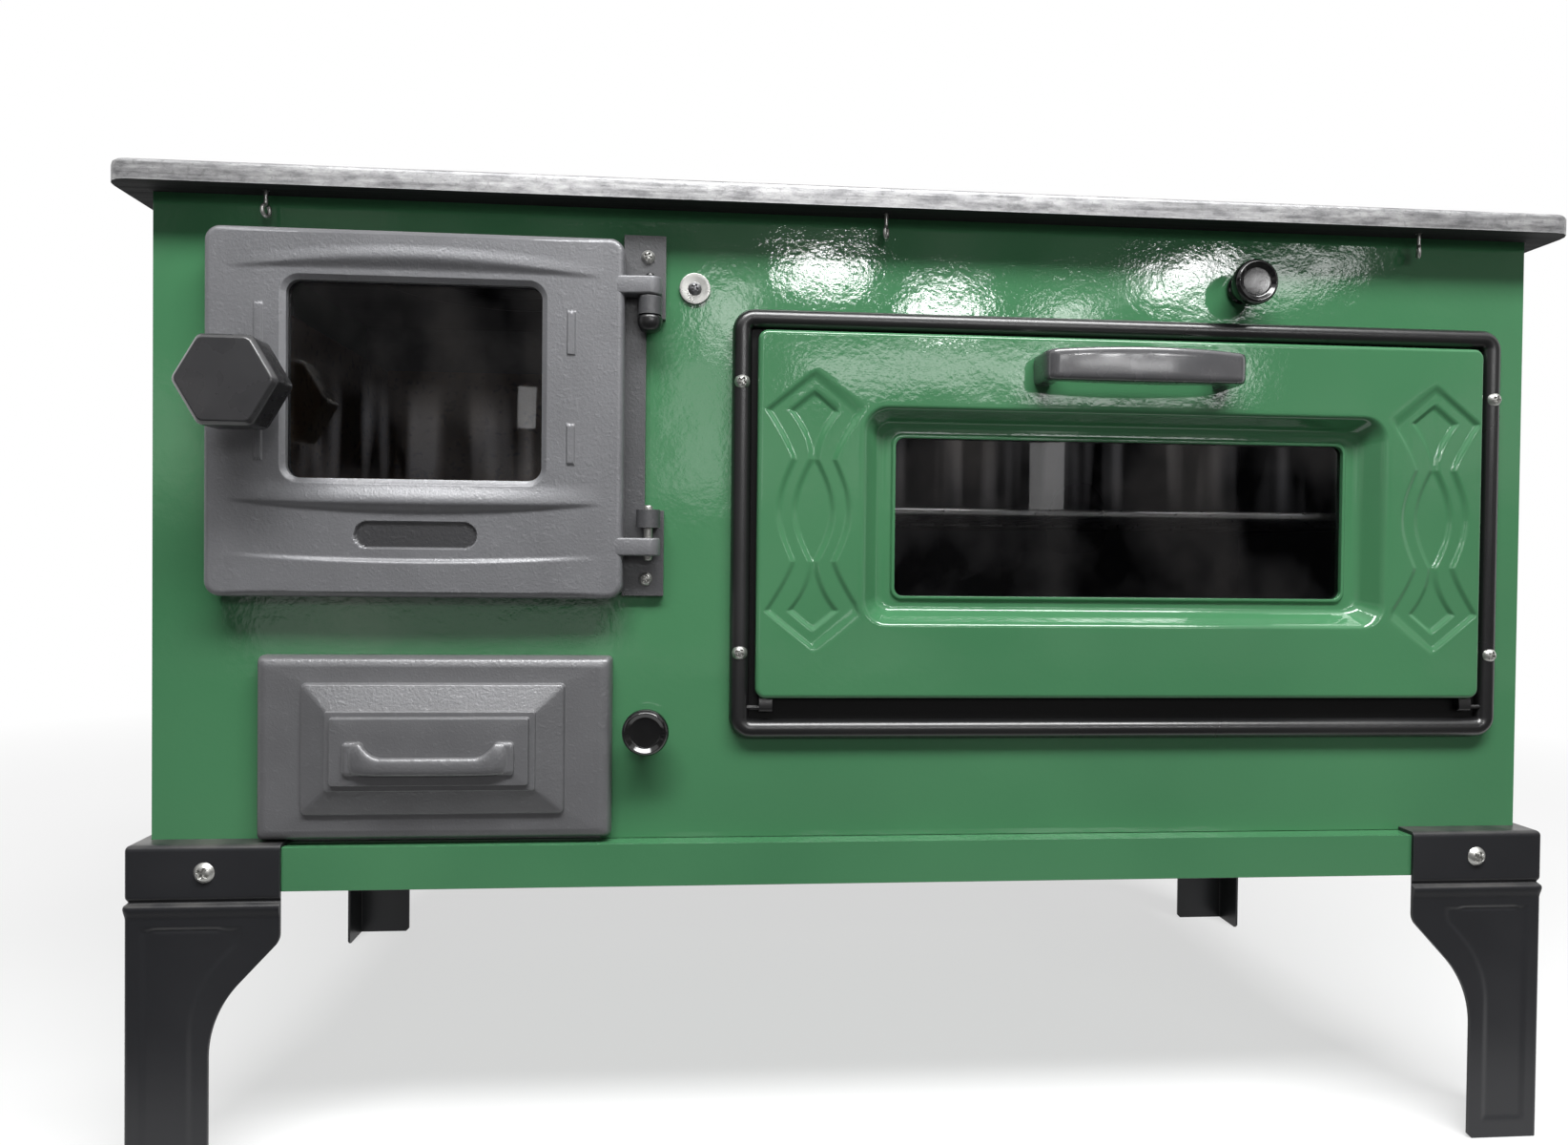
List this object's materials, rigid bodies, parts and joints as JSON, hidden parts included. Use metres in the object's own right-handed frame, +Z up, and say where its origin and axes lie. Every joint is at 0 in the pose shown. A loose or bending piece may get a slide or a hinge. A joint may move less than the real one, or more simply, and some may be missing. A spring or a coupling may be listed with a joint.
{
  "type": "cookstove",
  "caption": "Free-standing wood-burning cookstove with firebox, ash drawer, glazed drop-down oven door, iron cooking plate and rear flue collar on pressed sheet legs.",
  "frame": {"origin": "centre of the footprint of the bounding box, on the floor", "axes": "+X to the right of a person facing the stove, -Y out of its front, +Z up"},
  "size_m": [0.9994, 0.5038, 0.721],
  "materials": {
    "green_enamel": "gloss vitreous enamel",
    "black_enamel": "gloss black enamel",
    "leg_paint": "semi-gloss charcoal paint",
    "plate_iron": "ground cast iron",
    "grey_casting": "grey heat-proof coating on sand-cast iron",
    "dark_casting": "dark heat-proof coating on sand-cast iron",
    "raw_sheet": "plain rolled sheet steel",
    "zinc": "zinc plated",
    "bakelite": "black heat-proof moulding",
    "firebrick": "pale refractory brick",
    "rope_seal": "glass fibre rope",
    "door_glass": "clear heat-proof glass"
  },
  "bodies": {
    "stove_body": {"base_tray": "green_enamel", "front_panel": "green_enamel", "left_side_panel": "green_enamel", "right_side_panel": "green_enamel", "rear_panel": "raw_sheet", "ash_sleeve": "raw_sheet", "flue_duct": "raw_sheet", "stay_bolt": "raw_sheet", "grate_bed": "dark_casting", "leg_front_left": "leg_paint", "leg_front_right": "leg_paint", "leg_rear_left": "leg_paint", "leg_rear_right": "leg_paint", "cooktop_plate": "plate_iron", "flue_collar": "plate_iron", "leg_screw_front_left": "zinc", "leg_screw_front_right": "zinc", "leg_screw_rear_left": "zinc", "leg_screw_rear_right": "zinc", "oven_frame_screw_upper_left": "zinc", "oven_frame_screw_upper_right": "zinc", "oven_frame_screw_lower_left": "zinc", "oven_frame_screw_lower_right": "zinc", "plate_hook_left": "zinc", "plate_hook_middle": "zinc", "plate_hook_right": "zinc", "frame_screw_top": "zinc", "frame_screw_bottom": "zinc", "fire_hinge_pin_bottom": "zinc", "stay_washer": "zinc", "oven_rack": "zinc", "fire_door_frame": "grey_casting", "oven_frame": "black_enamel", "oven_box": "black_enamel", "fire_hinge_pin_top": "black_enamel", "oven_hinge_pin_left": "black_enamel", "oven_hinge_pin_right": "black_enamel", "firebrick_left": "firebrick", "firebrick_right": "firebrick", "firebrick_rear": "firebrick"},
    "hinged_fire_door": {"fire_door": "grey_casting", "fire_door_glass": "door_glass", "fire_glass_retainer": "raw_sheet", "fire_door_gasket": "rope_seal"},
    "turning_latch": {"latch_knob": "bakelite", "latch_spindle": "raw_sheet"},
    "sliding_ash_drawer": {"ash_drawer_front": "dark_casting", "ash_pan": "raw_sheet"},
    "hinged_oven_door": {"oven_door_panel": "green_enamel", "oven_door_inner": "raw_sheet", "oven_door_glass": "door_glass", "oven_door_handle": "bakelite"},
    "sliding_damper": {"damper_knob": "bakelite", "damper_rod": "raw_sheet", "damper_plate": "raw_sheet"},
    "sliding_shaker": {"shaker_knob": "bakelite", "shaker_rod": "raw_sheet", "fire_grate": "dark_casting"},
    "lifting_ring": {"cooktop_ring": "plate_iron"},
    "lifting_lid": {"centre_lid": "plate_iron"}
  },
  "joints": [
    {"name": "fire_door_swing", "type": "hinge", "parent": "stove_body", "child": "hinged_fire_door", "pos_m": [-0.154, -0.19985, 0.50375], "axis": [0, 0, 1], "range_deg": [0, 110]},
    {"name": "latch_turn", "type": "hinge", "parent": "hinged_fire_door", "child": "turning_latch", "pos_m": [-0.405, -0.20585, 0.51644], "axis": [0, 1, 0], "range_deg": [0, 90]},
    {"name": "ash_drawer_slide", "type": "slide", "parent": "stove_body", "child": "sliding_ash_drawer", "axis": [0, -1, 0], "range_m": [0, 0.28]},
    {"name": "oven_door_drop", "type": "hinge", "parent": "stove_body", "child": "hinged_oven_door", "pos_m": [0.1805, -0.19115, 0.3098], "axis": [1, 0, 0], "range_deg": [0, 90]},
    {"name": "damper_pull", "type": "slide", "parent": "stove_body", "child": "sliding_damper", "axis": [0, -1, 0], "range_m": [0, 0.07]},
    {"name": "shaker_pull", "type": "slide", "parent": "stove_body", "child": "sliding_shaker", "axis": [0, -1, 0], "range_m": [0, 0.03]},
    {"name": "cooktop_ring_lift", "type": "slide", "parent": "stove_body", "child": "lifting_ring", "axis": [0, 0, 1], "range_m": [0, 0.1]},
    {"name": "centre_lid_lift", "type": "slide", "parent": "lifting_ring", "child": "lifting_lid", "axis": [0, 0, 1], "range_m": [0, 0.1]}
  ]
}
